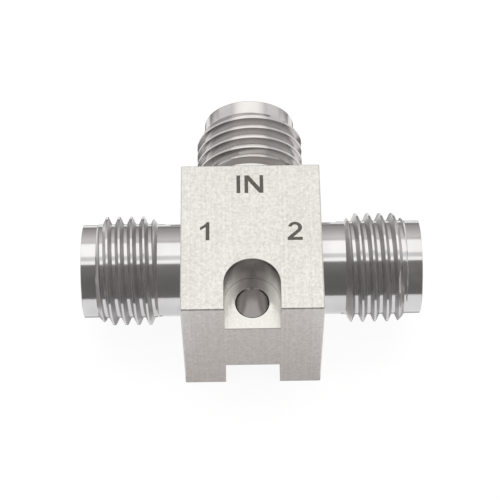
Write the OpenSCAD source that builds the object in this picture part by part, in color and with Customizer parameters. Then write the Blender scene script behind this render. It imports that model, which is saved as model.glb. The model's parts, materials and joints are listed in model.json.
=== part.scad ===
// Two-resistor RF power splitter: one input and two outputs on coaxial sockets,
// round a small steel block that is held down by one screw through its front ear.
// All sizes are in millimetres. The origin lies on the base, below the point where
// the three port axes cross. +X runs to port 2, +Y out of the input port, +Z up.

/* [Body] */
// Width of the block between the two side ports
body_w = 8.0; // [7.4:0.1:12]
// Depth of the block from front to back
body_d = 9.5; // [9.2:0.1:14]
// Height of the block, with the ports at its middle
body_h = 9.0; // [8.4:0.1:14]
// Distance from the back of the block to the axis of the side ports
axis_setback = 4.35; // [4:0.05:4.7]
// Width of the broken edges round the block
edge_break = 0.06; // [0.03:0.01:0.2]

/* [Screw ear] */
// Diameter of the through hole for the holding screw
screw_hole_d = 1.8; // [1.6:0.1:2.4]
// Distance from the front of the block to the axis of that hole
screw_inset = 1.65; // [1.3:0.05:1.8]
// Width of the round-ended pockets for the screw head, above and below the ear
pocket_w = 3.2; // [2.8:0.1:3.6]
// Depth of each pocket
pocket_depth = 2.25; // [1.5:0.05:2.8]
// Width of the broken edge at both ends of the hole
hole_break = 0.08; // [0.05:0.01:0.15]

/* [Coaxial line] */
// Inner diameter of the outer conductor
line_bore_d = 2.92; // [2.6:0.02:3.1]
// Outer diameter of the centre conductor
line_core_d = 1.27; // [1.15:0.01:1.35]
// Clearance on the radius where one piece is pushed into another
push_gap = 0.01; // [0.005:0.005:0.03]
// Room left at the bottom of a blind hole
end_gap = 0.05; // [0.02:0.01:0.1]

/* [Port shell] */
// Reach of a port from the face of the block to its mating end
port_reach = 5.8; // [5.4:0.1:8]
// Outer diameter of the coupling thread
thread_d = 6.35; // [6:0.05:6.8]
// Pitch of the coupling thread, 36 to the inch
thread_pitch = 0.7056; // [0.6:0.0056:0.75]
// Length of the plain neck between the block and the thread
neck_len = 1.3; // [0.8:0.05:1.6]
// Wall of the plain land in front of the thread, round the recess
land_wall = 0.41; // [0.3:0.01:0.5]
// Length of the plain land
land_len = 0.85; // [0.6:0.05:1.2]
// Wall of the spigot that is pressed into the block, round the bead's seat
spigot_wall = 0.4; // [0.3:0.01:0.45]
// Length of that spigot
spigot_len = 1.6; // [1.4:0.05:1.8]
// Width of the neck's shoulder on the face of the block
shoulder = 0.4; // [0.2:0.01:0.5]
// Diameter of the recess that takes the outer conductor of a plug
recess_d = 4.6; // [4.3:0.05:4.7]
// Depth of that recess, down to the reference plane
recess_depth = 1.9; // [1.5:0.05:2.2]
// Width of the broken edges at the mouth of the shell
mouth_break = 0.12; // [0.05:0.01:0.15]

/* [Support bead and bush] */
// Outer diameter of the bead, and of the bush behind it
bead_d = 3.8; // [3.5:0.05:3.9]
// Thickness of the bead
bead_len = 1.0; // [0.8:0.05:1.2]
// Length of the bush
bush_len = 0.8; // [0.6:0.05:1]

/* [Centre contact] */
// Setback of the contact behind the reference plane
contact_setback = 0.05; // [0.02:0.01:0.1]
// Diameter of the socket for the pin of a plug
socket_d = 0.94; // [0.9:0.01:0.98]
// Depth of that socket
socket_depth = 2.4; // [2:0.1:2.8]
// Width of the slots between the spring fingers
slot_w = 0.12; // [0.08:0.01:0.14]
// Length of the slots
slot_len = 1.9; // [1.4:0.1:2.1]
// Number of spring fingers
fingers = 4; // [4:2:6]
// Width of the broken edge round the fingertips
finger_break = 0.07; // [0.04:0.01:0.1]
// Diameter of the stem that passes through the bead
stem_d = 0.8; // [0.6:0.02:0.9]
// Length of stem behind the bead
stem_grip = 0.5; // [0.3:0.05:0.55]

/* [Resistors and junction] */
// Diameter of a resistor's ceramic rod
rod_d = 0.9; // [0.7:0.02:1]
// Length of rod inside each end cap
cap_grip = 0.3; // [0.2:0.02:0.4]
// Thickness of the solid end of a cap
cap_web = 0.15; // [0.1:0.01:0.2]
// Diameter of the pin from the inner cap into the junction
pin_d = 0.5; // [0.4:0.02:0.6]
// Length of that pin
pin_len = 0.35; // [0.2:0.05:0.4]
// Side of the junction's square hub
hub_w = 1.5; // [1.4:0.02:1.6]

/* [Hidden] */

$fn = 96;

// How far a cutting shape runs past the face that it opens
past = 1;

axis_z = body_h / 2;
front_y = axis_setback - body_d;
screw_y = front_y + screw_inset;
ear_h = body_h - 2 * pocket_depth;

// Thread form: 60 degrees between the flanks, crest flat 1/8 and root flat 1/6 of the pitch
crest_flat = thread_pitch / 8;
root_flat = thread_pitch / 6;
flank_run = (thread_pitch - crest_flat - root_flat) / 2;
thread_depth = flank_run * tan(60);
crest_r = thread_d / 2;
root_r = crest_r - thread_depth;

// As many whole turns as fit between the neck and the land, in the middle of the room there
thread_room = port_reach - neck_len - land_len;
thread_turns = floor(thread_room / thread_pitch);
thread_back = neck_len + (thread_room - thread_turns * thread_pitch) / 2;

// Diameters that follow from what each surrounds
land_d = recess_d + 2 * land_wall;
seat_d = bead_d + 2 * push_gap;
spigot_d = seat_d + 2 * spigot_wall;
neck_d = spigot_d + 2 * shoulder;

// Heights in a port, measured outwards from the face of the block
seat_z = -spigot_len;
bead_back = seat_z + bush_len;
bead_front = bead_back + bead_len;
ref_plane = port_reach - recess_depth;
contact_front = ref_plane - contact_setback;

cap_len = stem_grip + end_gap + cap_web + cap_grip;

// Distance of a port's block face from the crossing of the axes, and the port's direction
function face_of(port) = port == "in" ? axis_setback : body_w / 2;
function turn_of(port) = port == "in" ? [-90, 0, 0] : port == "1" ? [0, -90, 0] : [0, 90, 0];

steel = [0.80, 0.79, 0.76];
turned_steel = [0.68, 0.67, 0.66];
gold = [0.83, 0.66, 0.33];
silver = [0.86, 0.86, 0.84];
polymer = [0.93, 0.90, 0.82];
ceramic = [0.36, 0.30, 0.27];

// Puts a shape on a port's axis, with its own Z outwards and zero at the crossing of the axes
module on_axis(port) {
    translate([0, 0, axis_z]) rotate(turn_of(port)) children();
}

// Puts a shape on a port's axis, with zero at the face of the block
module on_face(port) {
    on_axis(port) translate([0, 0, face_of(port)]) children();
}

// Round hole or rod of diameter d between two heights
module rod(d, from, to) {
    translate([0, 0, from]) cylinder(d = d, h = to - from);
}

// Cut that breaks the edge of a hole of diameter d by width w, opening upwards from z = 0
module broken_rim(d, w) {
    translate([0, 0, -w]) cylinder(d1 = d, d2 = d + 4 * w, h = 2 * w);
}

// Rectangle with its four corners cut off at 45 degrees
module broken_rect(w, h, c) {
    x = w / 2;
    y = h / 2;
    polygon([[x, y - c], [x - c, y], [c - x, y], [-x, y - c],
             [-x, c - y], [c - x, -y], [x - c, -y], [x, c - y]]);
}

// The plain block with all twelve edges broken
module block() {
    translate([0, axis_setback - body_d / 2, axis_z]) intersection() {
        linear_extrude(height = body_h, center = true) broken_rect(body_w, body_d, edge_break);
        rotate([90, 0, 0]) linear_extrude(height = body_d, center = true)
            broken_rect(body_w, body_h, edge_break);
        rotate([90, 0, 90]) linear_extrude(height = body_w, center = true)
            broken_rect(body_d, body_h, edge_break);
    }
}

// Pocket for the screw head, round at the back and open to the front
module head_pocket(from, to) {
    translate([0, screw_y, from]) linear_extrude(height = to - from) {
        circle(d = pocket_w);
        translate([-pocket_w / 2, -screw_inset - past]) square([pocket_w, screw_inset + past]);
    }
}

module screw_hole() {
    translate([0, screw_y, 0]) {
        rod(screw_hole_d, 0, body_h);
        translate([0, 0, pocket_depth + ear_h]) broken_rim(screw_hole_d, hole_break);
        translate([0, 0, pocket_depth]) mirror([0, 0, 1]) broken_rim(screw_hole_d, hole_break);
    }
}

module body() {
    color(steel) difference() {
        block();
        head_pocket(-past, pocket_depth);
        head_pocket(body_h - pocket_depth, body_h + past);
        screw_hole();
        on_axis("2") rod(line_bore_d, -body_w / 2, body_w / 2);
        on_axis("in") rod(line_bore_d, 0, axis_setback);
        for (port = ["in", "1", "2"])
            on_face(port) rod(spigot_d + 2 * push_gap, seat_z, past);
    }
}

// Outline of the coupling thread as a row of rings at its own pitch, from its back end forwards
function thread_outline() = [for (i = [0 : thread_turns - 1], p = [
        [root_r, root_flat / 2],
        [crest_r, root_flat / 2 + flank_run],
        [crest_r, root_flat / 2 + flank_run + crest_flat],
        [root_r, thread_pitch - root_flat / 2]])
    [p[0], thread_back + i * thread_pitch + p[1]]];

// Threaded barrel of a port, turned in one piece with the spigot that goes into the block
module shell() {
    outside = concat(
        [[spigot_d / 2 - mouth_break, seat_z], [spigot_d / 2, seat_z + mouth_break],
         [spigot_d / 2, 0], [neck_d / 2, 0], [neck_d / 2, neck_len]],
        thread_outline(),
        [[land_d / 2, port_reach - land_len], [land_d / 2, port_reach - mouth_break],
         [land_d / 2 - mouth_break, port_reach]]);
    inside = [
        [recess_d / 2 + mouth_break, port_reach], [recess_d / 2, port_reach - mouth_break],
        [recess_d / 2, ref_plane], [line_bore_d / 2, ref_plane],
        [line_bore_d / 2, bead_front], [seat_d / 2, bead_front], [seat_d / 2, seat_z]];
    color(turned_steel) rotate_extrude() polygon(concat(outside, inside));
}

// Insulating bead that carries the centre contact
module bead() {
    color(polymer) difference() {
        rod(bead_d, bead_back, bead_front);
        rod(stem_d + 2 * push_gap, bead_back - past, bead_front + past);
    }
}

// Plain ring that holds the bead against the shoulder in the shell
module bush() {
    color(turned_steel) difference() {
        rod(bead_d, seat_z, bead_back);
        rod(line_bore_d, seat_z - past, bead_back + past);
    }
}

// Centre contact: a socket slotted into spring fingers, and a stem through the bead
module contact() {
    tip_r = line_core_d / 2;
    color(gold) difference() {
        rotate_extrude() polygon([
            [0, bead_back - stem_grip], [stem_d / 2, bead_back - stem_grip],
            [stem_d / 2, bead_front], [tip_r, bead_front],
            [tip_r, contact_front - finger_break], [tip_r - finger_break, contact_front],
            [0, contact_front]]);
        rod(socket_d, contact_front - socket_depth, contact_front + past);
        for (i = [0 : fingers / 2 - 1])
            rotate(i * 360 / fingers + 180 / fingers)
                translate([-slot_w / 2, -line_core_d, contact_front - slot_len])
                    cube([slot_w, 2 * line_core_d, slot_len + past]);
    }
}

// Tee that joins the input contact to both resistors
module junction() {
    arm_end = axis_setback + bead_back;
    color(gold) difference() {
        union() {
            translate([0, 0, axis_z]) cube(hub_w, center = true);
            on_axis("in") rod(line_core_d, 0, arm_end);
        }
        on_axis("in") rod(stem_d + 2 * push_gap, arm_end - stem_grip - end_gap, arm_end + past);
        for (port = ["1", "2"])
            on_axis(port) rod(pin_d + 2 * push_gap, hub_w / 2 - pin_len - end_gap, hub_w / 2 + past);
    }
}

// Ceramic rod with the resistive film, between its two end caps
module resistor_rod(port) {
    inner_end = hub_w / 2 + cap_web;
    outer_end = face_of(port) + bead_back - cap_len + cap_grip;
    color(ceramic) on_axis(port) rod(rod_d, inner_end, outer_end);
}

// End cap towards the junction, with its pin
module inner_cap(port) {
    base = hub_w / 2;
    color(silver) on_axis(port) difference() {
        union() {
            rod(line_core_d, base, base + cap_web + cap_grip);
            rod(pin_d, base - pin_len, base + cap_web);
        }
        rod(rod_d + 2 * push_gap, base + cap_web, base + cap_web + cap_grip + past);
    }
}

// End cap towards the port, bored at the other end for the contact's stem
module outer_cap(port) {
    color(silver) on_face(port) difference() {
        rod(line_core_d, bead_back - cap_len, bead_back);
        rod(rod_d + 2 * push_gap, bead_back - cap_len - past, bead_back - cap_len + cap_grip);
        rod(stem_d + 2 * push_gap, bead_back - stem_grip - end_gap, bead_back + past);
    }
}

body();
on_face("in") shell();  // port_in_shell
on_face("1") shell();  // port_1_shell
on_face("2") shell();  // port_2_shell
on_face("in") bead();  // port_in_bead
on_face("1") bead();  // port_1_bead
on_face("2") bead();  // port_2_bead
on_face("in") bush();  // port_in_bush
on_face("1") bush();  // port_1_bush
on_face("2") bush();  // port_2_bush
on_face("in") contact();  // port_in_contact
on_face("1") contact();  // port_1_contact
on_face("2") contact();  // port_2_contact
junction();
resistor_rod("1");  // resistor_1_rod
resistor_rod("2");  // resistor_2_rod
inner_cap("1");  // resistor_1_inner_cap
inner_cap("2");  // resistor_2_inner_cap
outer_cap("1");  // resistor_1_outer_cap
outer_cap("2");  // resistor_2_outer_cap
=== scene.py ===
# %% [markdown]
# # A small RF power splitter, dressed round its solid model
#
# The object is a steel block, about as big as a sugar cube, with three threaded coaxial ports and
# one screw hole. The solid model already has every size, so this file never moves or scales it.
# It adds what the solids leave out: the lead of the threads, the port marks and the finish of each
# metal. Last come the floor, the lamps and the camera.

# %% Load the solid model
import json
import math

import bpy
import numpy as np
from mathutils import Matrix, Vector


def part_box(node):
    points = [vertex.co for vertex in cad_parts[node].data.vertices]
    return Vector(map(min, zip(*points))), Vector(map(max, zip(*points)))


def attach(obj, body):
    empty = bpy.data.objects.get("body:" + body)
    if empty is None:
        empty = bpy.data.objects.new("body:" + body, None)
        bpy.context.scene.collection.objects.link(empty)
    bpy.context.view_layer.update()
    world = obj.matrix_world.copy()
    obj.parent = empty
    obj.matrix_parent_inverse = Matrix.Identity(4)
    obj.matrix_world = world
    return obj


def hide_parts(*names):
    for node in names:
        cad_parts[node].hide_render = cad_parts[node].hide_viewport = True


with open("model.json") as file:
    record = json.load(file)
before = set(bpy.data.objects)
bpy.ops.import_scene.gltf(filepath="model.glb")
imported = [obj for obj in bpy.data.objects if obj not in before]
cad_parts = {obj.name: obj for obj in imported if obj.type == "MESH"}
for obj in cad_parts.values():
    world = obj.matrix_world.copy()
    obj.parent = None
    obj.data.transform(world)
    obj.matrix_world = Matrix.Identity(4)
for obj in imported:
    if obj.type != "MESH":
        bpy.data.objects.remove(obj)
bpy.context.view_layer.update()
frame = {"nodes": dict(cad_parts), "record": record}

MM = 0.001

# %% [markdown]
# ## Sizes that come from the solids
#
# A size that is typed in twice will one day differ in the two places. So whatever can be measured
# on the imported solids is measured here, and only sizes inside a solid, such as the pitch of the
# thread, are repeated as named values where they are needed. All lengths below are in millimetres;
# they become metres only when a mesh is made.

# %% Measure the block and one port
def box_mm(node):
    """Lowest and highest corner of a solid, in millimetres."""
    low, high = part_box(node)
    return np.array(low) / MM, np.array(high) / MM


block_low, block_high = box_mm("body")
barrel_low, barrel_high = box_mm("port_2_shell")

axis_height = (barrel_low[2] + barrel_high[2]) / 2
crest_radius = (barrel_high[2] - barrel_low[2]) / 2
port_reach = barrel_high[0] - block_high[0]
spigot_length = block_high[0] - barrel_low[0]
print(f"port axis {axis_height:.3f} up, thread radius {crest_radius:.3f}, reach {port_reach:.3f}")

# %% [markdown]
# ## From arrays to a mesh
#
# A barrel has thousands of points, so it is worked out as whole arrays of points and triangles. One
# helper then hands the arrays to Blender with foreach_set, which copies them in one go. The call
# from_pydata takes lists and is slower, so it is kept for the small pieces. All points are already
# where their piece belongs, so its object stays at the origin, just as the solids do.

# %% Helpers that make a piece from arrays
def add_object(name, mesh):
    """Makes an object of a mesh, at the origin, and links it into the scene."""
    piece = bpy.data.objects.new(name, mesh)
    bpy.context.scene.collection.objects.link(piece)
    return piece


def mesh_piece(name, points, triangles, smooth_degrees, values):
    """Makes a piece from points in mm and triangles, shaded smooth up to an angle.

    values gives named numbers, one for each point, that a material can read."""
    mesh = bpy.data.meshes.new(name)
    mesh.vertices.add(len(points))
    mesh.vertices.foreach_set("co", (points * MM).astype(np.float32).ravel())
    mesh.loops.add(triangles.size)
    mesh.loops.foreach_set("vertex_index", triangles.astype(np.int32).ravel())
    mesh.polygons.add(len(triangles))
    mesh.polygons.foreach_set("loop_start", np.arange(0, triangles.size, 3, dtype=np.int32))
    for key, numbers in values.items():
        store = mesh.attributes.new(key, "FLOAT", "POINT").data
        store.foreach_set("value", numbers.astype(np.float32))
    mesh.update(calc_edges=True)
    mesh.validate()
    mesh.shade_smooth()
    mesh.set_sharp_from_angle(angle=math.radians(smooth_degrees))
    piece = add_object(name, mesh)
    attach(piece, "root")
    print(f"{name}: {len(points)} points, {len(triangles)} triangles")
    return piece


def quads_to_triangles(here, beyond):
    """Splits a grid into triangles. here and beyond are the point numbers of each column and of
    the column next to it. A cell that has shrunk to a line or a point is left out."""
    a, b, c, d = here[:, :-1], beyond[:, :-1], beyond[:, 1:], here[:, 1:]
    halves = np.concatenate([np.stack([a, b, c], -1), np.stack([a, c, d], -1)]).reshape(-1, 3)
    i, j, k = halves.T
    return halves[(i != j) & (j != k) & (k != i)]


# %% [markdown]
# ## Broken edges
#
# No corner of a turned piece is a perfect edge: the tool leaves a tiny radius, and that radius is
# what catches the light. It could be added with a Bevel modifier. Here the outline is still a short
# list of corners, so it is easier to round the corners in the list before the outline is turned.

# %% Round the corners of an outline
def rounded(corners, cut, hold, steps=4):
    """Swaps each inner corner of a path for a short curve.

    The curve is the quadratic Bezier curve between the two points at distance cut from the corner:
    corner + cut * ((1 - t)^2 * towards the last corner + t^2 * towards the next one). One more
    point at distance hold from each end of it keeps the straight runs flat when they are shaded."""
    corners = np.asarray(corners, float)
    corner = corners[1:-1]
    back, on = corners[:-2] - corner, corners[2:] - corner
    back /= np.linalg.norm(back, axis=1, keepdims=True)
    on /= np.linalg.norm(on, axis=1, keepdims=True)
    t = np.linspace(0, 1, steps)[:, None, None]
    curve = corner + cut * ((1 - t) ** 2 * back + t**2 * on)
    before, after = corner + (cut + hold) * back, corner + (cut + hold) * on
    inner = np.concatenate([before[None], curve, after[None]]).transpose(1, 0, 2).reshape(-1, 2)
    return np.vstack([corners[:1], inner, corners[-1:]])


# %% [markdown]
# ## The form of the thread
#
# The ports carry a fine thread with 36 turns to the inch. Cut along the axis, one pitch of it is a
# flat root, a flank up, a narrow flat crest and a flank down, and two flanks stand about 51 degrees
# apart. The solids have the thread as plain rings. Here one pitch will be carried along a helix, so
# that each turn runs into the next one.

# %% One pitch of the thread, from root to root
thread_pitch = 0.7056
crest_flat = thread_pitch / 6
root_flat = thread_pitch / 4
thread_depth = 0.433
crest_break, crest_hold = 0.004, 0.003
flank_steps = 8

flank_run = (thread_pitch - crest_flat - root_flat) / 2
root_radius = crest_radius - thread_depth
form_corners = np.array([
    [-crest_flat / 2 - flank_run, root_radius], [-crest_flat / 2, crest_radius],
    [crest_flat / 2, crest_radius], [crest_flat / 2 + flank_run, root_radius]])
one_pitch = np.array([thread_pitch, 0])
corners = np.vstack([form_corners[-1] - one_pitch, form_corners, form_corners[0] + one_pitch])
form = rounded(corners, crest_break, crest_hold)[1:-1]
# A few more points on the flanks let the ends of the thread be cut off cleanly
more = np.arange(-flank_steps // 2, flank_steps // 2) * thread_pitch / flank_steps
form_along = np.union1d(form[:, 0], more)
form_radius = np.interp(form_along, form[:, 0], form[:, 1], period=thread_pitch)
flank_angle = 2 * math.degrees(math.atan2(flank_run, thread_depth))
print(f"thread: root radius {root_radius:.3f}, flanks {flank_angle:.1f} degrees apart")

# %% [markdown]
# ## The threaded barrels
#
# Each port is a turned barrel: a neck at the block, the thread, a plain land at the mating end, and
# inside it the recess for a plug, the reference plane and the bore of the line. A Screw modifier
# could wind the thread, but would leave open ends. So the surface is worked out instead: lines of
# the thread's form run along the helix, and where a line passes either end of the thread it is
# held on the circle there. Cells between held lines shrink to nothing and are left out, which
# closes the thread onto the land and the neck without a gap. A cone of about 50 degrees at the neck
# and one of 45 degrees at the land cut the crests down, as the lathe tool does. The mouth's outer
# edge is crisp, and its inner edge is broken, to lead the plug in.

# %% Sizes inside a barrel, measured outwards from the face of the block
neck_radius = 2.71
land_radius = 2.71
neck_length = 1.3
land_length = 0.85
recess_radius = 2.3
recess_depth = 1.9
line_radius = 1.46
seat_radius = 1.91
spigot_radius = 2.31
bead_front = 0.2
mouth_break = 0.12
edge_break, edge_hold = 0.025, 0.01
clear_of_thread = 0.01

thread_front = port_reach - land_length
reference_plane = port_reach - recess_depth

lathe_corners = [
    [thread_front + clear_of_thread, land_radius], [port_reach, land_radius],
    [port_reach, recess_radius + mouth_break], [port_reach - mouth_break, recess_radius],
    [reference_plane, recess_radius], [reference_plane, line_radius],
    [bead_front, line_radius], [bead_front, seat_radius],
    [-spigot_length, seat_radius], [-spigot_length, spigot_radius - mouth_break],
    [mouth_break - spigot_length, spigot_radius], [0, spigot_radius],
    [0, neck_radius], [neck_length - clear_of_thread, neck_radius]]
lathe_along, lathe_radius = rounded(lathe_corners, edge_break, edge_hold).T
print(f"thread up to {thread_front:.3f}, {len(lathe_along)} points in the turned rest")

# %% Wind the thread along its helix
columns = 200
lead_in_slope = 1.0
turn = np.arange(columns) / columns


def wound_thread(first_crest, thread_back, run_out_slope):
    """Lines of the thread's form, one column of points for each part of a turn.

    A point's free place along the axis is its place in the form plus whole pitches plus the pitch
    times its share of a turn. Its real place is the free one, held between the thread's two ends.
    Its radius is the form's, or that of the end cones where they are smaller."""
    first = math.floor((thread_back - first_crest) / thread_pitch) - 2
    last = math.ceil((thread_front - first_crest) / thread_pitch) + 2
    whole = thread_pitch * np.arange(first, last)[:, None] + first_crest
    lines = (form_along + whole).ravel()
    free = lines[None, :] + thread_pitch * turn[:, None]
    along = np.clip(free, thread_back, thread_front)
    neck_cone = neck_radius + run_out_slope * (along - thread_back)
    land_cone = land_radius + lead_in_slope * (thread_front - along)
    cones = np.minimum(neck_cone, land_cone)
    radius = np.minimum(np.tile(form_radius, last - first)[None, :], cones)
    return free, along, radius


# %% Close the thread with the turned rest of the barrel
smooth_degrees = 40


def threaded_barrel(name, face, out, across, first_crest, thread_back, run_out_slope):
    """A barrel whose axis runs along out from a face of the block.

    The wound thread runs from thread_back to the land, and first_crest is where a crest meets the
    direction across. The rest of the outline is turned round the axis: a point at an angle a lies
    at along * out + radius * (cos a * across + sin a * the direction square to both)."""
    free, along, radius = wound_thread(first_crest, thread_back, run_out_slope)
    lines, rest = along.shape[1], len(lathe_along)
    number = np.arange(columns * lines).reshape(columns, lines)
    back_circle = columns * lines + np.arange(columns)
    front_circle = back_circle + columns
    turned = front_circle[-1] + 1 + np.arange(columns * rest).reshape(columns, rest)

    # Held lines share the points of the circle at that end of the thread
    number = np.where(free <= thread_back, back_circle[:, None], number)
    number = np.where(free >= thread_front, front_circle[:, None], number)
    # After a full turn a line has become the line one pitch further out
    wrapped = np.append(number[0, len(form_along):], np.full(len(form_along), front_circle[0]))
    thread = quads_to_triangles(number, np.vstack([number[1:], wrapped]))
    round_it = np.hstack([front_circle[:, None], turned, back_circle[:, None]])
    closing = quads_to_triangles(round_it, np.roll(round_it, -1, axis=0))

    circle = np.ones(columns)
    all_along = np.concatenate([along.ravel(), circle * thread_back, circle * thread_front,
                                np.tile(lathe_along, columns)])
    all_radius = np.concatenate([radius.ravel(), circle * neck_radius, circle * land_radius,
                                 np.tile(lathe_radius, columns)])
    all_turn = np.concatenate([np.repeat(turn, lines), turn, turn, np.repeat(turn, rest)])
    used, triangles = np.unique(np.vstack([thread, closing]), return_inverse=True)
    along, radius, angle = all_along[used], all_radius[used], 2 * np.pi * all_turn[used]

    points = np.outer(face + along, out) + [0, 0, axis_height]
    points += np.outer(radius * np.cos(angle), across)
    points += np.outer(radius * np.sin(angle), np.cross(out, across))
    lift = (used < columns * lines) * (radius - root_radius) / thread_depth
    return mesh_piece(name, points, triangles.reshape(-1, 3), smooth_degrees,
                      {"along": along, "lift": np.clip(lift, 0, 1)})


# %% The three barrels, with the thread a little further out on the side ports
side_neck_extra = 0.12
side_thread_back = neck_length + side_neck_extra

barrels = {
    "in": threaded_barrel("port_in_barrel", block_high[1], (0, 1, 0), (0, 0, 1),
                          first_crest=0.06, thread_back=neck_length, run_out_slope=1.1),
    "1": threaded_barrel("port_1_barrel", -block_low[0], (-1, 0, 0), (0, 0, 1),
                         first_crest=0.058, thread_back=side_thread_back, run_out_slope=1.3),
    "2": threaded_barrel("port_2_barrel", block_high[0], (1, 0, 0), (0, 1, 0),
                         first_crest=0.657, thread_back=side_thread_back, run_out_slope=1.3),
}
for port, barrel in barrels.items():
    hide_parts(f"port_{port}_shell")

# %% [markdown]
# ## The port marks
#
# The block's top names the ports: IN, 1 and 2, burnt dark by a laser. A Text object would do, but
# brings a typeface of its own. The marks are simple enough to be drawn as outlines instead, in
# units of their height, and each outline becomes a plate that is let into the steel and stands
# only a few thousandths of a millimetre proud of it.

# %% Outlines of the marks
def two_outline():
    """Outline of a 2: an elliptical bowl from the left end over the top to the right, with a
    parallel ellipse inside it, then a straight diagonal and a flat foot. A point of an ellipse at
    an angle a is its middle plus its radii times (cos a, sin a)."""
    start_degrees, end_degrees, bowl_points = 168, -38, 24
    outer_middle, outer_radii = [0.36, 0.69], [0.33, 0.31]
    inner_middle, inner_radii = [0.35, 0.69], [0.155, 0.165]
    foot = [[0.27, 0.165], [0.71, 0.165], [0.71, 0], [0, 0], [0, 0.15]]
    a = np.radians(np.linspace(start_degrees, end_degrees, bowl_points))
    bowl = np.stack([np.cos(a), np.sin(a)], -1)
    return np.vstack([outer_middle + outer_radii * bowl, foot,
                      inner_middle + inner_radii * bowl[::-1]])


letter_i = np.array([[0, 0], [0.18, 0], [0.18, 1], [0, 1]])
letter_n = np.array([[0, 0], [0.175, 0], [0.175, 0.69], [0.70, 0], [0.90, 0],
                     [0.90, 1], [0.725, 1], [0.725, 0.31], [0.20, 1], [0, 1]])
figure_one = np.array([[0.27, 0], [0.45, 0], [0.45, 1], [0.32, 1], [0.22, 0.86],
                       [0, 0.71], [0, 0.56], [0.27, 0.72]])
figure_two = two_outline()
print("points in the outlines:", [len(o) for o in (letter_i, letter_n, figure_one, figure_two)])

# %% Let each mark into the top of the block
mark_height = 1.2
mark_depth = 0.03
mark_proud = 0.004


def mark_plate(name, outlines):
    """A thin plate for each outline: the outline at two heights, with a wall between them.

    Each outline comes with the x and y of its lower left corner."""
    points, faces = np.empty((0, 3)), []
    for outline, x, y in outlines:
        flat = outline * mark_height + [x, y]
        # A face whose outline runs clockwise would look down, so the order is turned round
        x_next, y_next = np.roll(flat, -1, axis=0).T
        if np.sum(flat[:, 0] * y_next - x_next * flat[:, 1]) < 0:
            flat = flat[::-1]
        count, first = len(flat), len(points)
        low = np.column_stack([flat, np.full(count, block_high[2] - mark_depth)])
        high = np.column_stack([flat, np.full(count, block_high[2] + mark_proud)])
        points = np.vstack([points, low, high])
        here = first + np.arange(count)
        beyond = np.roll(here, -1)
        faces += [here[::-1].tolist(), (here + count).tolist()]
        faces += np.stack([here, beyond, beyond + count, here + count], -1).tolist()
    mesh = bpy.data.meshes.new(name)
    mesh.from_pydata((points * MM).tolist(), [], faces)
    mesh.update()
    piece = add_object(name, mesh)
    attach(piece, "root")
    print(f"{name}: {len(faces)} faces")
    return piece


marks = [
    mark_plate("in_mark", [(letter_i, -0.80, 2.44), (letter_n, -0.34, 2.44)]),
    mark_plate("port_1_mark", [(figure_one, -2.90, -0.68)]),
    mark_plate("port_2_mark", [(figure_two, 2.05, -0.74)]),
]

# %% [markdown]
# ## Building materials from nodes
#
# A node tree is tedious to write out call by call. The first helper adds one node, sets its options
# and fills each input by name or number: a plain value is typed in, and another node's output is
# linked. The others stand for the sums that the materials need most.

# %% Helpers that add nodes
def put(tree, kind, values=None, **options):
    """Adds a shader node and fills its inputs. Values that are sockets are linked."""
    node = tree.nodes.new("ShaderNode" + kind)
    for key, option in options.items():
        setattr(node, key, option)
    for key, value in (values or {}).items():
        if isinstance(value, bpy.types.NodeSocket):
            tree.links.new(value, node.inputs[key])
        else:
            node.inputs[key].default_value = value
    return node


def bare_material(name):
    """A material with an empty node tree."""
    material = bpy.data.materials.new(name)
    material.use_nodes = True
    material.node_tree.nodes.clear()
    return material, material.node_tree


def new_material(name):
    """A material with a Principled shader in its node tree."""
    material, tree = bare_material(name)
    shader = put(tree, "BsdfPrincipled")
    put(tree, "OutputMaterial", {"Surface": shader.outputs[0]})
    return material, tree, shader


def place_mm(tree):
    """The place on a piece, in millimetres: its Object coordinates, which are in metres, scaled."""
    place = put(tree, "TexCoord").outputs["Object"]
    return put(tree, "VectorMath", {0: place, "Scale": 1 / MM}, operation="SCALE").outputs[0]


# %% Sums in a node tree
def calculate(tree, operation, first, second=0.0):
    """One Math node."""
    return put(tree, "Math", {0: first, 1: second}, operation=operation).outputs[0]


def multiply(tree, first, *others):
    """The product of some numbers."""
    for other in others:
        first = calculate(tree, "MULTIPLY", first, other)
    return first


def largest(tree, first, *others):
    """The largest of some numbers."""
    for other in others:
        first = calculate(tree, "MAXIMUM", first, other)
    return first


# %% Masks and ramps in a node tree
def over(tree, value, limit):
    """1 where a number is over a limit, and otherwise 0."""
    return calculate(tree, "GREATER_THAN", value, limit)


def under(tree, value, limit):
    """1 where a number is under a limit, and otherwise 0."""
    return calculate(tree, "LESS_THAN", value, limit)


def between(tree, value, low, high):
    """1 where a number lies between two limits, and otherwise 0."""
    return multiply(tree, over(tree, value, low), under(tree, value, high))


def ramp(tree, value, start, end, low=0.0, high=1.0, **options):
    """Goes from low, where a number is at start or before it, to high, where it is at end or
    beyond it."""
    values = {"Value": value, "From Min": start, "From Max": end, "To Min": low, "To Max": high}
    return put(tree, "MapRange", values, **options).outputs["Result"]


def spread(tree, tone, low, high):
    """Turns a tone from 0 to 1 into a number from low to high."""
    return ramp(tree, tone, 0.0, 1.0, low, high)


# %% Blends, and the inputs of the shader
def blend_numbers(tree, factor, first, second):
    """Blends two numbers."""
    return put(tree, "Mix", {0: factor, 2: first, 3: second}, data_type="FLOAT").outputs[0]


def blend_colours(tree, factor, first, second):
    """Blends two colours, each of them a socket or three numbers."""
    ends = [c if isinstance(c, bpy.types.NodeSocket) else (*c, 1) for c in (first, second)]
    return put(tree, "Mix", {0: factor, 6: ends[0], 7: ends[1]}, data_type="RGBA").outputs[2]


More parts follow.
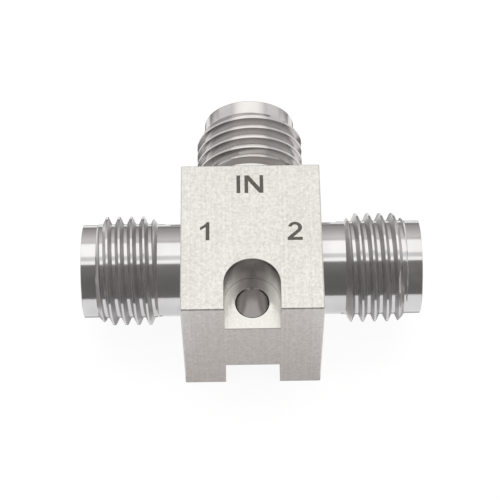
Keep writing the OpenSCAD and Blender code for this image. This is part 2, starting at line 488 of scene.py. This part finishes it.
def finish_surface(material, shader, colour, roughness, height, strength, depth, metallic=1.0):
    """Feeds a Principled shader. height is a tone that raises the surface by up to depth mm."""
    tree = material.node_tree
    bump = put(tree, "Bump", {"Height": height, "Strength": strength, "Distance": depth * MM})
    tree.links.new(colour, shader.inputs["Base Color"])
    tree.links.new(roughness, shader.inputs["Roughness"])
    tree.links.new(bump.outputs[0], shader.inputs["Normal"])
    shader.inputs["Metallic"].default_value = metallic
    print(f"{material.name}: {len(tree.nodes)} nodes")


# %% [markdown]
# ## Effects that several finishes share
#
# Three things mark the surfaces of this part. Fine grain, from blasting or plating, breaks up the
# gloss. Cutting tools leave lines, which run round a turned piece and straight along a milled one.
# And fingers leave faint smudges. Each is a node group that puts out a number between 0 and 1,
# which every material then uses in its own way. Most of Blender's noise lies in the middle of that
# range, so the groups stretch it.

# %% Grain, tool lines and smudges
def new_pattern(name, where, kind, fineness):
    """An empty node group that is given a place and a fineness and puts out a tone. where and
    kind name the place and say what kind of socket it is."""
    tree = bpy.data.node_groups.new(name, "ShaderNodeTree")
    tree.interface.new_socket(where, in_out="INPUT", socket_type=kind)
    scale = tree.interface.new_socket("Fineness", in_out="INPUT", socket_type="NodeSocketFloat")
    scale.default_value = fineness
    tree.interface.new_socket("Tone", in_out="OUTPUT", socket_type="NodeSocketFloat")
    given = tree.nodes.new("NodeGroupInput").outputs
    return tree, given, tree.nodes.new("NodeGroupOutput").inputs["Tone"]


def make_grain():
    """Small round spots: noise with as many spots to the millimetre as Fineness says."""
    tree, given, tone = new_pattern("grain", "Place", "NodeSocketVector", 7.0)
    noise = put(tree, "TexNoise", {"Vector": given["Place"], "Scale": given["Fineness"],
                                   "Detail": 3.0, "Roughness": 0.6})
    tree.links.new(ramp(tree, noise.outputs["Fac"], start=0.3, end=0.7), tone)
    return tree


def make_tool_lines():
    """Lines across one direction: noise of a single number, fine lines mixed with broader ones."""
    tree, given, tone = new_pattern("tool_lines", "Across", "NodeSocketFloat", 9.0)
    place = multiply(tree, given["Across"], given["Fineness"])
    noise = put(tree, "TexNoise", {"W": place, "Scale": 1.0, "Detail": 4.0, "Roughness": 0.7},
                noise_dimensions="1D")
    tree.links.new(ramp(tree, noise.outputs["Fac"], start=0.3, end=0.7), tone)
    return tree


def make_smudges():
    """Large soft clouds with clear patches between them: noise with its middle stretched."""
    tree, given, tone = new_pattern("smudges", "Place", "NodeSocketVector", 0.35)
    noise = put(tree, "TexNoise", {"Vector": given["Place"], "Scale": given["Fineness"],
                                   "Detail": 2.0, "Distortion": 0.4})
    clouds = ramp(tree, noise.outputs["Fac"], start=0.35, end=0.65,
                  interpolation_type="SMOOTHSTEP")
    tree.links.new(clouds, tone)
    return tree


def use_group(tree, group, where, place, fineness):
    """Places a node group in a material and returns its tone."""
    values = {where: place, "Fineness": fineness}
    return put(tree, "Group", values, node_tree=group).outputs["Tone"]


grain, tool_lines, smudges = make_grain(), make_tool_lines(), make_smudges()
print("groups:", [group.name for group in bpy.data.node_groups])

# %% [markdown]
# ## The block's steel
#
# The block is milled stainless steel, lightly blasted and then rubbed from front to back. It is
# pale and dull, with a fine mottle and faint lines. All that shows of a metal is its reflections,
# so the mottle goes into the roughness and a bump as well as the colour. The pockets are smoother,
# with a dull wall. Light and shade are painted into their colour: a painted highlight on the
# floor's sides and back, and painted shade in dark lines along the floor, round the hole, at the
# rim and under the floor's front lip, in the hole and on the wall's sides. All this could be
# painted by hand. The pockets' outline is so simple, though, that the material can work it out from
# the place on the block, and it stays sharp.

# %% Where a point of the block lies in the pockets
pocket_half = 1.6
pocket_depth = 2.25
pocket_straight = 1.65
pocket_middle = block_low[1] + pocket_straight
pocket_floor = block_high[2] - pocket_depth
# How far from a wall, and from the floor, a point still counts as on it
skin = 0.02
hair = 0.004
print(f"pocket: {2 * pocket_half:.2f} wide, floor at {pocket_floor:.2f}")


def off_pocket_middle(tree, x, y):
    """Distance from a pocket's middle line; past the middle of its round end only the part of y
    beyond that middle counts. A pocket's outline is where it is half the pocket's width."""
    beyond = largest(tree, calculate(tree, "SUBTRACT", y, pocket_middle), 0.0)
    flat = put(tree, "CombineXYZ", {0: x, 1: beyond}).outputs[0]
    return put(tree, "VectorMath", {0: flat}, operation="LENGTH").outputs["Value"]


def in_pocket(tree, off_middle, y, z):
    """1 inside a pocket, with its walls, and 0 on the outside of the block. The pockets open to
    the front and end before the axes of the side ports, which lie at y = 0."""
    return multiply(tree, under(tree, off_middle, pocket_half + skin),
                    between(tree, y, block_low[1] + skin, 0.0),
                    between(tree, z, block_low[2] + skin, block_high[2] - skin))


# %% Painted shade: dark lines at the pocket's corners, rim and lip, and shades in the hole and on the wall
rim_height, rim_skin = 0.33, 0.01
floor_line_height = 0.05
hole_line_height = 0.09
lip_height = 0.07
floor_line, hole_shade, lip_line = 0.5, 0.22, 0.6

# Shades that change with the distance from the middle line, between two distances
rim_line = {"start": 0.3, "end": 1.0, "low": 0.05, "high": 0.8}
hole_line = {"start": 0.08, "end": 0.25, "low": 0.3, "high": 0.92}
wall_shade = {"start": 0.15, "end": 0.6, "low": 0.0, "high": 0.26}


def painted_pocket_shade(tree, off_middle, sideways, y, z, inside, wall):
    """How much painted shade a point gets: the darkest of the lines along the floor, round the
    mouth of the hole, at the rim and under the floor's front lip, and of the shades in the hole and
    on the wall."""
    along_floor = between(tree, z, pocket_floor + hair, pocket_floor + floor_line_height)
    round_hole = between(tree, z, pocket_floor - hole_line_height, pocket_floor - hair)
    in_hole = under(tree, z, pocket_floor - hair)
    within = largest(tree, multiply(tree, along_floor, floor_line),
                     multiply(tree, round_hole, ramp(tree, sideways, **hole_line)),
                     multiply(tree, in_hole, hole_shade))
    on_wall = multiply(tree, wall, ramp(tree, sideways, **wall_shade))

    at_rim = multiply(tree, between(tree, off_middle, pocket_half - skin, pocket_half + rim_skin),
                      over(tree, z, block_high[2] - rim_height),
                      ramp(tree, sideways, **rim_line))
    under_lip = multiply(tree, between(tree, z, pocket_floor - lip_height, pocket_floor + skin),
                         under(tree, y, block_low[1] + skin),
                         under(tree, sideways, pocket_half), lip_line)
    return largest(tree, multiply(tree, within, inside), on_wall, at_rim, under_lip)


# %% Painted highlight on the sides and back of the pocket's floor
floor_highlight_sides = {"start": 0.55, "end": 1.1, "low": 0.0, "high": 0.85}
floor_highlight_front, floor_highlight_back = pocket_middle - 0.6, pocket_middle + 0.3


def painted_floor_highlight(tree, sideways, y, z, inside):
    """How much painted highlight the floor gets: more to the sides and towards the round end."""
    on_floor = between(tree, z, pocket_floor - hair, pocket_floor + hair)
    return multiply(tree, ramp(tree, sideways, **floor_highlight_sides),
                    ramp(tree, y, floor_highlight_front, floor_highlight_back), on_floor, inside)


# %% Tones and roughnesses of the block
mottle_dark, mottle_light = (0.42, 0.406, 0.389), (0.69, 0.674, 0.648)
pocket_tone = (0.565, 0.55, 0.535)
# The tone of the painted highlight on the pocket's floor
painted_highlight_tone = (0.86, 0.84, 0.81)
# The tone of the painted shade in the pockets
painted_shade_tone = (0.14, 0.13, 0.125)
blasted_rough, milled_rough, wall_rough = (0.28, 0.40), (0.16, 0.22), (0.29, 0.35)
touched_rough = (-0.02, 0.02)
share_of_lines = 0.28
# How far the mottle fades to its middle on the sides, and to one tone in the pockets
side_calm, mottle_middle = 0.25, 0.5
pocket_calm = 0.65

# %% Material of the block
def block_steel():
    """Mottled outside, calmer on the sides than on top, and smoother in the pockets, which get
    painted shade and a painted highlight.
    """
    material, tree, shader = new_material("block_steel_milled")
    place = place_mm(tree)
    x, y, z = put(tree, "SeparateXYZ", {0: place}).outputs
    sideways = calculate(tree, "ABSOLUTE", x)
    spots = use_group(tree, grain, "Place", place, fineness=6.5)
    rubbed = use_group(tree, tool_lines, "Across", x, fineness=8.0)
    touched = use_group(tree, smudges, "Place", place, fineness=0.3)
    texture = blend_numbers(tree, share_of_lines, spots, rubbed)

    off_middle = off_pocket_middle(tree, x, y)
    inside = in_pocket(tree, off_middle, y, z)
    wall = multiply(tree, over(tree, off_middle, pocket_half - skin), inside)
    # Painted shade at the pockets' corners, rim and lip, in the hole and on the wall
    dark = painted_pocket_shade(tree, off_middle, sideways, y, z, inside, wall)
    # A painted highlight on the pockets' floor
    bright = painted_floor_highlight(tree, sideways, y, z, inside)

    below_top = under(tree, z, block_high[2] - skin)
    calm = blend_numbers(tree, multiply(tree, below_top, side_calm), texture, mottle_middle)
    tone = blend_colours(tree, calm, mottle_dark, mottle_light)
    tone = blend_colours(tree, multiply(tree, inside, pocket_calm), tone, pocket_tone)
    tone = blend_colours(tree, bright, tone, painted_highlight_tone)
    tone = blend_colours(tree, dark, tone, painted_shade_tone)

    blasted, milled = spread(tree, texture, *blasted_rough), spread(tree, texture, *milled_rough)
    rough = blend_numbers(tree, inside, blasted, milled)
    rough = blend_numbers(tree, wall, rough, spread(tree, texture, *wall_rough))
    rough = calculate(tree, "ADD", rough, spread(tree, touched, *touched_rough))
    finish_surface(material, shader, tone, rough, texture, strength=0.5, depth=0.006)
    return material


block_finish = block_steel()

# %% [markdown]
# ## Turned steel
#
# The barrels come straight from a fine lathe cut, so they are far glossier than the block: they
# mirror the lamps and the dark card in front as sharp bands. The cut leaves rings that are almost
# too fine to see, and the flanks of a thread are a little duller than its crests. The rings need
# the place along each barrel's own axis, so the barrels carry it as an attribute of their points.

# %% Material of the barrels
turned_dark, turned_light = (0.53, 0.524, 0.526), (0.58, 0.573, 0.575)
turned_touched_rough = (0.0, 0.02)
# A flank lies between these shares of the thread's depth
flank_low, flank_high = 0.04, 0.95


def turned_steel(name, along, smooth, dull, flank_dull=0.0, tint=(1, 1, 1), paint_flanks=None):
    """along gives the place along the axis in millimetres, as a socket of the material's tree.
    smooth and dull are the least and the most roughness that the rings of the cut give, and
    flank_dull is what the flanks of a thread add to it. tint colours the whole steel, and the last
    argument, if given, is a function that paints shade and a highlight onto the flanks."""
    material, tree, shader = new_material(name)
    rings = use_group(tree, tool_lines, "Across", along(tree), fineness=45.0)
    touched = use_group(tree, smudges, "Place", place_mm(tree), fineness=0.42)
    lift = put(tree, "Attribute", attribute_name="lift").outputs["Fac"]
    on_flank = between(tree, lift, flank_low, flank_high)

    ends = np.multiply((turned_dark, turned_light), tint).tolist()
    tone = blend_colours(tree, touched, *ends)
    # Painted shade and a painted highlight on the flanks, where a function for them is given
    if paint_flanks:
        tone = paint_flanks(tree, tone, lift, on_flank)
    rough = spread(tree, rings, smooth, dull)
    rough = calculate(tree, "ADD", rough, spread(tree, touched, *turned_touched_rough))
    rough = calculate(tree, "ADD", rough, multiply(tree, on_flank, flank_dull))
    finish_surface(material, shader, tone, rough, rings, strength=0.3, depth=0.0006)
    return material


def along_barrel(tree):
    """Place along a barrel's axis, which its points carry."""
    return put(tree, "Attribute", attribute_name="along").outputs["Fac"]


def from_middle(tree):
    """Distance from the origin, close enough to the place along the axis for the small bushes."""
    return put(tree, "VectorMath", {0: place_mm(tree)}, operation="LENGTH").outputs["Value"]


# %% [markdown]
# ## Painted shade and highlight on the input port's thread
#
# The input port's steel is warmer and duller than that of the others. Its flanks carry painted
# shade just under the crests, most of all on the left, and at the far left, above the axis, a
# painted highlight. Noise could place such marks, but not on one side of one port, so they follow
# the place across the port instead.

# %% Painted shade and highlight on the flanks
# Tones of the painted shade and of the painted highlight on the flanks
flank_shade_tone = (0.16, 0.15, 0.145)
flank_highlight_tone = (0.96, 0.945, 0.93)
# Where the painted shade lies, and where the painted highlight lies
shade_under_crest = {"start": 0.35, "end": 0.9, "low": 0.0, "high": 0.40}
shade_fade_far_left = {"start": -2.75, "end": -2.25, "low": 0.0, "high": 1.0}
shade_heavier_left = {"start": -1.6, "end": -0.7, "low": 1.9, "high": 1.0}
highlight_far_left = {"start": -2.85, "end": -2.5, "low": 1.0, "high": 0.0}
highlight_above_axis = {"start": axis_height + 0.3, "end": axis_height + 0.9}


def painted_flank_light(tree, tone, lift, on_flank):
    """Paints shade onto the flanks by how near the crest and how far left a point is, then a
    painted highlight onto the part of the far left that lies above the axis."""
    place = put(tree, "SeparateXYZ", {0: place_mm(tree)}).outputs
    x, z = place["X"], place["Z"]
    shade_on_flanks = multiply(tree, on_flank, ramp(tree, lift, **shade_under_crest),
                       ramp(tree, x, **shade_fade_far_left), ramp(tree, x, **shade_heavier_left))
    highlight_on_flanks = multiply(tree, on_flank, ramp(tree, x, **highlight_far_left), ramp(tree, z, **highlight_above_axis))
    tone = blend_colours(tree, shade_on_flanks, tone, flank_shade_tone)
    return blend_colours(tree, highlight_on_flanks, tone, flank_highlight_tone)


# %% [markdown]
# ## Plated and moulded pieces inside the ports
#
# Looking into a port shows a gold-plated socket with four spring fingers, on a pale moulded bead.
# The resistors with their silver caps are deep inside the block. They are finished too, because
# someone may take the model apart. All of them get the same fine grain, and differ in colour, in
# gloss and in whether they are metal.

# %% Gold, silver, polymer and resistor film
def fine_grained(name, dark, light, low_rough, high_rough, metallic):
    """A plated metal, or a polymer or ceramic: smudges in its colour, grain in its gloss, and a
    slight bump."""
    material, tree, shader = new_material(name)
    place = place_mm(tree)
    spots = use_group(tree, grain, "Place", place, fineness=9.0)
    touched = use_group(tree, smudges, "Place", place, fineness=0.7)
    tone = blend_colours(tree, touched, dark, light)
    rough = spread(tree, spots, low_rough, high_rough)
    finish_surface(material, shader, tone, rough, spots, strength=0.3, depth=0.002,
                   metallic=metallic)
    return material


finishes = {
    "block_steel": block_finish,
    "turned_steel": turned_steel("turned_steel_bush", from_middle, smooth=0.15, dull=0.25),
    "gold_plate": fine_grained("gold_plated_contact", (0.70, 0.47, 0.16), (0.86, 0.62, 0.27),
                               0.16, 0.34, metallic=1.0),
    "silver_plate": fine_grained("silver_plated_cap", (0.78, 0.77, 0.74), (0.90, 0.89, 0.86),
                                 0.22, 0.40, metallic=1.0),
    "bead_polymer": fine_grained("moulded_bead", (0.72, 0.65, 0.50), (0.82, 0.76, 0.62),
                                 0.35, 0.55, metallic=0.0),
    "resistor_film": fine_grained("resistor_film_rod", (0.08, 0.06, 0.05), (0.16, 0.12, 0.10),
                                  0.5, 0.75, metallic=0.0),
}
bright_barrel = turned_steel("turned_steel_bright", along_barrel, smooth=0.08, dull=0.15,
                             flank_dull=0.18)
# The input port's barrel gets painted shade and a painted highlight on its flanks
satin_barrel = turned_steel("turned_steel_satin", along_barrel, smooth=0.14, dull=0.20,
                            flank_dull=0.02, tint=(1.0, 0.985, 0.965), paint_flanks=painted_flank_light)

# %% [markdown]
# ## The marks' dark skin
#
# A laser turns the steel's skin dark grey and dull. It isn't quite even: the grain of the block
# shows through, so the same grain sets both its colour and its gloss.

# %% Material of the marks
burnt_dark, burnt_light = (0.105, 0.095, 0.085), (0.20, 0.183, 0.165)
burnt_rough = (0.55, 0.75)
burnt_shine = 0.2


def burnt_mark():
    """A dull oxide skin, which is no longer metal."""
    material, tree, shader = new_material("laser_darkened_steel")
    spots = use_group(tree, grain, "Place", place_mm(tree), fineness=9.0)
    tree.links.new(blend_colours(tree, spots, burnt_dark, burnt_light), shader.inputs["Base Color"])
    tree.links.new(spread(tree, spots, *burnt_rough), shader.inputs["Roughness"])
    shader.inputs["Specular IOR Level"].default_value = burnt_shine
    print(f"{material.name}: {len(tree.nodes)} nodes")
    return material


mark_skin = burnt_mark()

# %% Hand the finishes out
for part in frame["record"]["subparts"]:
    solid = frame["nodes"][part["node"]]
    solid.data.materials.clear()
    solid.data.materials.append(finishes[part["material_slot"]])
for port, barrel in barrels.items():
    barrel.data.materials.append(satin_barrel if port == "in" else bright_barrel)
for mark in marks:
    mark.data.materials.append(mark_skin)
print("finishes:", sorted(finishes))

# %% [markdown]
# ## The floor
#
# The part stands on a plain white floor with a white background. Rays from the camera, and rays
# that metal sends back, see the floor as nearly white by its own glow; the rest of its light is
# what falls on it, so the part keeps a soft shadow there. A world colour alone would show no
# shadow. From below the floor is clear, so that the part can be looked at from there too.

# %% Paper that is white where it is looked at
floor_half = 600.0
floor_grey = 0.8
seen_glow, seen_grey = 0.90, 0.18
mirrored_glow, mirrored_grey = 0.83, 0.45


def paper(tree, grey, glow=0.0):
    """Paper that gives back a share of the light that falls on it and glows a little."""
    matt = put(tree, "BsdfDiffuse", {"Color": (grey, grey, grey, 1)})
    shine = put(tree, "Emission", {"Color": (1, 1, 1, 1), "Strength": glow})
    return put(tree, "AddShader", {0: matt.outputs[0], 1: shine.outputs[0]}).outputs[0]


def choose(tree, factor, first, second):
    """One shader where a number is 0, and another where it is 1."""
    return put(tree, "MixShader", {0: factor, 1: first, 2: second}).outputs[0]


def white_floor():
    """Plain paper for the light, and glowing paper for rays from metal and from the camera."""
    material, tree = bare_material("floor_white")
    path = put(tree, "LightPath").outputs
    passed_on = largest(tree, path["Is Glossy Ray"], path["Is Transmission Ray"])
    look = choose(tree, passed_on, paper(tree, floor_grey),
                  paper(tree, mirrored_grey, mirrored_glow))
    look = choose(tree, path["Is Camera Ray"], look, paper(tree, seen_grey, seen_glow))
    from_below = put(tree, "NewGeometry").outputs["Backfacing"]
    look = choose(tree, from_below, look, put(tree, "BsdfTransparent").outputs[0])
    put(tree, "OutputMaterial", {"Surface": look})
    return material


mesh = bpy.data.meshes.new("floor")
square = np.array([[-1, -1, 0], [1, -1, 0], [1, 1, 0], [-1, 1, 0]]) * floor_half
mesh.from_pydata((square * MM).tolist(), [], [[0, 1, 2, 3]])
mesh.materials.append(white_floor())
floor = add_object("floor", mesh)
print(f"floor: {2 * floor_half:.0f} mm square")

# %% White room round the floor
room_light, room_white = 0.45, 1.0

world = bpy.data.worlds.new("white_room")
bpy.context.scene.world = world
world.use_nodes = True
tree = world.node_tree
tree.nodes.clear()
path = put(tree, "LightPath").outputs
looked_at = largest(tree, path["Is Camera Ray"], path["Is Glossy Ray"], path["Is Transmission Ray"])
strength = spread(tree, looked_at, room_light, room_white)
room = put(tree, "Background", {"Color": (1, 1, 1, 1), "Strength": strength})
put(tree, "OutputWorld", {"Surface": room.outputs[0]})
print(f"room: lights with {room_light}, looks {room_white}")

# %% [markdown]
# ## Soft boxes and cards
#
# Polished steel shows the room, so the room decides how it looks. Two soft boxes hang overhead, one
# behind the other, and reach further back than forwards; they make the top of the block and the
# upper bands of the barrels bright. A dark card stands in front, where the camera is, with grey
# ones behind it. More grey cards stand at the back and at the sides. Strips on the floor, which
# the undersides and the outlines of the barrels mirror, are painted shadow: dark and grey sheets
# where the floor lies in the part's shade round and under the block. A white one beside the right
# port is a painted patch of light. Area lamps would do for the soft boxes. A glowing panel can also
# be bent, can fade from one grey to another and can be left to reflections alone, so all of these
# are panels.

# %% Glowing panels
def panel(name, points, faces, greys, tint, lights):
    """A mesh that glows with one grey for each point. Unless it lights the scene, only
    reflections see it."""
    mesh = bpy.data.meshes.new(name)
    mesh.from_pydata((np.asarray(points) * MM).tolist(), [], faces)
    store = mesh.attributes.new("grey", "FLOAT", "POINT").data
    store.foreach_set("value", np.asarray(greys, np.float32))
    piece = add_object(name, mesh)
    piece.visible_camera = False
    piece.visible_diffuse = piece.visible_shadow = lights
    material, tree = bare_material(name)
    grey = put(tree, "Attribute", attribute_name="grey").outputs["Fac"]
    shine = put(tree, "Emission", {"Color": (*tint, 1), "Strength": grey})
    put(tree, "OutputMaterial", {"Surface": shine.outputs[0]})
    mesh.materials.append(material)


# %% Soft boxes overhead
lamp_height = 220.0
lamp_half_width = 190.0
lamp_radiance = 1.64
lamp_tint = (1.0, 0.99, 0.97)


def soft_box(name, front_degrees, back_degrees):
    """A level rectangle overhead between two angles, counted from the front horizon over the top:
    at height h, an angle a is met at y = -h / tan(a)."""
    front, back = -lamp_height / np.tan(np.radians([front_degrees, back_degrees]))
    up = axis_height + lamp_height
    points = [[-lamp_half_width, front, up], [-lamp_half_width, back, up],
              [lamp_half_width, back, up], [lamp_half_width, front, up]]
    panel(name, points, [[0, 1, 2, 3]], [lamp_radiance] * 4, lamp_tint, lights=True)
    print(f"{name}: from y {front:.0f} to {back:.0f}")


soft_box("front_soft_box", front_degrees=76.5, back_degrees=85.0)
soft_box("back_soft_box", front_degrees=96.0, back_degrees=131.5)

# %% Bent cards that only reflections see
card_tint = (1.0, 0.95, 0.95)
card_steps = 96


def card(name, half_width, distance, angles, greys):
    """A card bent round the side ports' axis. At an angle a, from the front horizon over the top,
    a point lies at (x, -distance * cos a, distance * sin a) from the axis. The grey is drawn
    straight from each of the given angles to the next."""
    over_top = np.linspace(angles[0], angles[-1], card_steps + 1)
    a = np.radians(over_top)
    edge = np.stack([0 * a, -distance * np.cos(a), distance * np.sin(a) + axis_height], -1)
    points = np.concatenate([edge - [half_width, 0, 0], edge + [half_width, 0, 0]])
    here = np.arange(card_steps)
    across = here + card_steps + 1
    faces = np.stack([here, across, across + 1, here + 1], -1).tolist()
    shades = np.tile(np.interp(over_top, angles, greys), 2)
    panel(name, points, faces, shades, card_tint, lights=False)
    print(f"{name}: {angles[0]} to {angles[-1]} degrees over, {2 * half_width:.0f} mm wide")


# Name, half width and distance, then the angles with the grey at each
bent_cards = [
    ("far_front_card", 700.0, 320.0, {-1: 0.25, 76: 0.25}),
    ("grey_front_card", 190.0, 260.0, {-1: 0.95, 54: 0.95, 64: 0.50, 76: 0.40}),
    ("dark_front_card", 44.0, 200.0, {-1: 0.20, 10: 0.18, 40: 0.19, 60: 0.25, 76: 0.28}),
    ("low_front_card", 16.0, 27.0, {-12: 0.22, 2: 0.205}),
    ("grey_back_card", 150.0, 200.0,
     {132: 0.92, 136: 0.88, 142: 0.98, 160: 0.74, 176: 0.54, 181: 0.42}),
    ("low_back_card", 13.0, 17.5, {171: 0.56, 180: 0.46, 185: 0.34, 195: 0.34}),
]
for name, half_width, distance, shades in bent_cards:
    card(name, half_width, distance, list(shades), list(shades.values()))

# %% Grey cards at the sides
side_distance, side_half, side_height, side_grey = 150.0, 45.0, 45.0, 0.35
off_floor = 0.05

for side, x in (("left", -side_distance), ("right", side_distance)):
    corners = [[x, -side_half, off_floor], [x, side_half, off_floor],
               [x, side_half, side_height], [x, -side_half, side_height]]
    panel(f"{side}_side_card", corners, [[0, 1, 2, 3]], [side_grey] * 4, card_tint, lights=False)
print(f"side cards: {side_distance:.0f} mm to each side")

# %% Painted shadow and light: strips on the floor, round and under the block
# The dark and grey strips are painted shadow, and the white one painted light, seen only in
# reflections
strip_height = 0.02

# Name, left, right, front and back edge, then the grey in front and at the back
strips = [
    ("left_dark_strip", -13.0, -5.4, 2.0, 9.0, 0.25, 0.25),
    ("left_low_strip", -12.5, -5.4, -2.4, 2.0, 0.42, 0.42),
    ("left_edge_strip", -5.2, -3.2, 10.0, 14.5, 0.2, 0.2),
    ("right_dark_strip", 5.4, 13.0, 5.2, 9.0, 0.25, 0.25),
    ("right_white_strip", 5.4, 12.5, -0.6, 5.0, 1.25, 1.25),
    ("right_low_strip", 5.4, 12.5, -2.4, -0.6, 0.42, 0.42),
    ("right_edge_strip", 3.2, 5.2, 10.0, 14.5, 0.2, 0.2),
    ("left_end_strip", -70.0, -12.8, -30.0, 3.0, 0.42, 0.42),
    ("right_end_strip", 13.2, 70.0, -30.0, 3.0, 0.42, 0.42),
    ("back_dark_strip", -4.0, 4.0, 19.0, 27.0, 0.22, 0.22),
    ("front_grey_strip", -4.4, 4.4, -12.0, -5.0, 0.93, 0.70),
    ("under_block_strip", -3.9, 3.9, -5.0, 4.2, 0.70, 0.70),
]
for name, left, right, front, back, front_grey, back_grey in strips:
    corners = [[left, front, strip_height], [right, front, strip_height],
               [right, back, strip_height], [left, back, strip_height]]
    greys = [front_grey, front_grey, back_grey, back_grey]
    panel(name, corners, [[0, 1, 2, 3]], greys, card_tint, lights=False)
print(f"strips: {len(strips)}")

# %% [markdown]
# ## The camera
#
# The camera's place was found once, by fitting the edges of the solid model to a photograph of
# such a part. It stands in front of the block, well above it, and looks down at about 59 degrees
# through a long lens. A constraint could aim it at the part, but wouldn't give it the slight roll,
# so its axes are worked out from three angles and put into its matrix.

# %% Place the camera
camera_place = np.array([-0.43, -51.165, 93.299])
camera_pitch, camera_yaw, camera_roll = np.radians([59.422, 0.395, 0.50])
focal_pixels, image_pixels, sensor_width = 1744.26, 500, 36.0
near_limit, far_limit = 1.0, 10000.0

ahead = np.array([math.sin(camera_yaw) * math.cos(camera_pitch),
                  math.cos(camera_yaw) * math.cos(camera_pitch), -math.sin(camera_pitch)])
level = np.array([math.cos(camera_yaw), -math.sin(camera_yaw), 0.0])
below = np.cross(ahead, level)
right = math.cos(camera_roll) * level + math.sin(camera_roll) * below
down = math.cos(camera_roll) * below - math.sin(camera_roll) * level

lens = bpy.data.cameras.new("camera")
lens.sensor_width = sensor_width
lens.lens = focal_pixels / image_pixels * sensor_width
lens.clip_start, lens.clip_end = near_limit * MM, far_limit * MM
camera = bpy.data.objects.new("camera", lens)
pose = np.eye(4)
pose[:3, :3] = np.column_stack([right, -down, -ahead])
pose[:3, 3] = camera_place * MM
camera.matrix_world = Matrix(pose.tolist())
bpy.context.scene.collection.objects.link(camera)
bpy.context.scene.camera = camera
bpy.context.scene.view_settings.view_transform = "Standard"
print(f"lens {lens.lens:.1f} mm")
